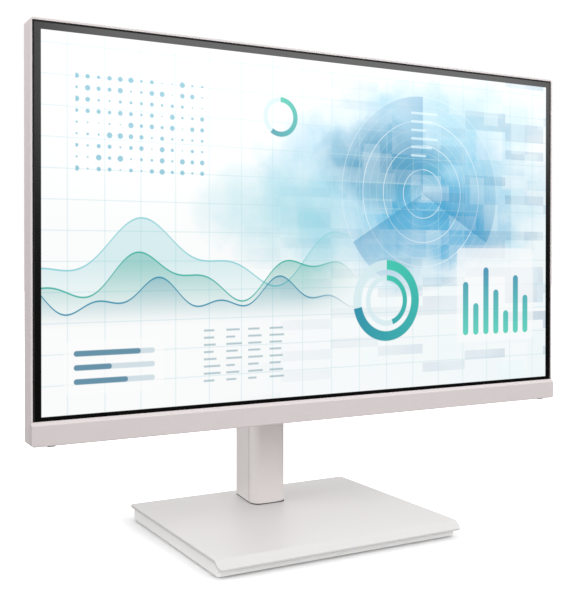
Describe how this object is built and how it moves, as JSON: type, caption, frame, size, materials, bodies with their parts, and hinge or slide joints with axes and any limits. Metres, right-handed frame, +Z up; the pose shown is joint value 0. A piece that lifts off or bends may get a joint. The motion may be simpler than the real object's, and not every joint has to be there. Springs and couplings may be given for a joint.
{
  "type": "computer monitor",
  "caption": "Widescreen flat-panel computer monitor with a thin pale cabinet, deeper chin and a flat rectangular base, on a column that lifts, tilts, swivels and pivots.",
  "frame": {"origin": "middle of the rectangle covered by the object seen from above, on the desk surface under the rubber feet", "axes": "+X to the right of someone who faces the screen, +Y to the back, +Z up; the screen faces -Y"},
  "size_m": [0.5438, 0.1986, 0.4446],
  "materials": {
    "white_plastic": "fine-textured moulded ABS",
    "white_metal": "powder coat, satin",
    "column_plastic": "smooth satin moulded ABS",
    "panel_glass": "anti-glare laminated glass with a printed black border",
    "dark_plastic": "moulded polycarbonate, matt",
    "clear_acrylic": "clear cast acrylic, polished edges",
    "film": "thin diffusing film",
    "reflector": "white reflecting foil",
    "zinc_steel": "zinc-plated sheet, stamped",
    "dark_steel": "black e-coat on steel",
    "bright_steel": "nickel plate",
    "spring_steel": "rolled and hardened strip",
    "cast_head": "cast and coated black",
    "die_cast": "die cast, bead blasted",
    "acetal": "natural acetal, machined",
    "board": "glass-fibre laminate with green solder mask",
    "chip": "moulded epoxy",
    "component_sleeve": "shrunk plastic sleeve",
    "led_package": "phosphor-filled resin",
    "rubber_foot": "die-cut rubber, matt",
    "washer_fibre": "friction fibre",
    "light_pipe": "clear polycarbonate"
  },
  "bodies": {
    "base": {"base_cover": "white_metal", "base_tray": "white_plastic", "weight_plate": "dark_steel", "base_screws": "bright_steel", "rubber_feet": "rubber_foot", "swivel_washers": "washer_fibre"},
    "column": {"column_foot": "die_cast", "column_rail": "zinc_steel", "column_screws": "bright_steel", "column_front_cover": "column_plastic", "column_rear_cover": "column_plastic", "swivel_nut": "bright_steel", "spring_band": "spring_steel"},
    "lift": {"carriage": "die_cast", "arm_cover": "white_plastic", "slide_pads": "acetal", "tilt_axle": "bright_steel", "tilt_friction_stack": "dark_steel"},
    "spring_coil": {"lift_spring": "spring_steel"},
    "tilt": {"tilt_head": "cast_head", "pivot_washer": "washer_fibre"},
    "latch": {"latch_button": "white_plastic"},
    "menu_key_1": {"menu_button_1": "white_plastic"},
    "menu_key_2": {"menu_button_2": "white_plastic"},
    "menu_key_3": {"menu_button_3": "white_plastic"},
    "menu_key_4": {"menu_button_4": "white_plastic"},
    "power_key": {"power_button": "white_plastic"},
    "display": {"lcd_cell": "panel_glass", "panel_midframe": "dark_plastic", "optical_films": "film", "light_guide_plate": "clear_acrylic", "reflector_sheet": "reflector", "led_bar": "die_cast", "led_packages": "led_package", "backlight_tray": "zinc_steel", "cabinet_frame": "white_plastic", "lower_bezel": "white_plastic", "landing_pads": "rubber_foot", "rear_cover": "white_plastic", "rear_cover_screws": "dark_steel", "chassis_plate": "zinc_steel", "vesa_posts": "bright_steel", "main_board": "board", "power_board": "board", "board_screws": "bright_steel", "main_board_parts": "chip", "power_board_parts": "component_sleeve", "source_board": "board", "port_bracket": "zinc_steel", "video_ports": "bright_steel", "usb_ports": "bright_steel", "power_inlet": "dark_plastic", "inlet_pins": "bright_steel", "button_board": "board", "button_switches": "chip", "led_lens": "light_pipe", "mount_plate": "dark_steel", "pivot_spindle": "bright_steel", "pivot_nut": "bright_steel", "latch_spring": "spring_steel"}
  },
  "joints": [
    {"name": "swivel", "type": "hinge", "parent": "base", "child": "column", "pos_m": [0, 0.0614, 0.0155], "axis": [0, 0, 1], "range_deg": [-45, 45]},
    {"name": "height", "type": "slide", "parent": "column", "child": "lift", "axis": [0, 0, 1], "range_m": [-0.093, 0.057], "deforming": ["spring_band"]},
    {"name": "spring_turn", "type": "hinge", "parent": "lift", "child": "spring_coil", "pos_m": [0, 0.06015, 0.254], "axis": [1, 0, 0], "range_deg": [-378.68, 615.76]},
    {"name": "tilt", "type": "hinge", "parent": "lift", "child": "tilt", "pos_m": [0, -0.008, 0.288], "axis": [-1, 0, 0], "range_deg": [-5, 23]},
    {"name": "pivot", "type": "hinge", "parent": "tilt", "child": "display", "pos_m": [0, -0.0265, 0.288], "axis": [0, 1, 0], "range_deg": [0, 30]},
    {"name": "latch_slide", "type": "slide", "parent": "display", "child": "latch", "axis": [0, 0, -1], "range_m": [0, 0.003], "stiffness_N_per_m": 900, "springref_m": -0.0005, "deforming": ["latch_spring"]},
    {"name": "menu_key_1_press", "type": "slide", "parent": "display", "child": "menu_key_1", "axis": [0, 0, 1], "range_m": [0, 0.0007], "stiffness_N_per_m": 1200, "springref_m": -0.0002},
    {"name": "menu_key_2_press", "type": "slide", "parent": "display", "child": "menu_key_2", "axis": [0, 0, 1], "range_m": [0, 0.0007], "stiffness_N_per_m": 1200, "springref_m": -0.0002},
    {"name": "menu_key_3_press", "type": "slide", "parent": "display", "child": "menu_key_3", "axis": [0, 0, 1], "range_m": [0, 0.0007], "stiffness_N_per_m": 1200, "springref_m": -0.0002},
    {"name": "menu_key_4_press", "type": "slide", "parent": "display", "child": "menu_key_4", "axis": [0, 0, 1], "range_m": [0, 0.0007], "stiffness_N_per_m": 1200, "springref_m": -0.0002},
    {"name": "power_key_press", "type": "slide", "parent": "display", "child": "power_key", "axis": [0, 0, 1], "range_m": [0, 0.0007], "stiffness_N_per_m": 1200, "springref_m": -0.0002}
  ],
  "couplings": [
    {"joint": "spring_turn", "follows": "height", "rad_per_m": -114.94}
  ]
}
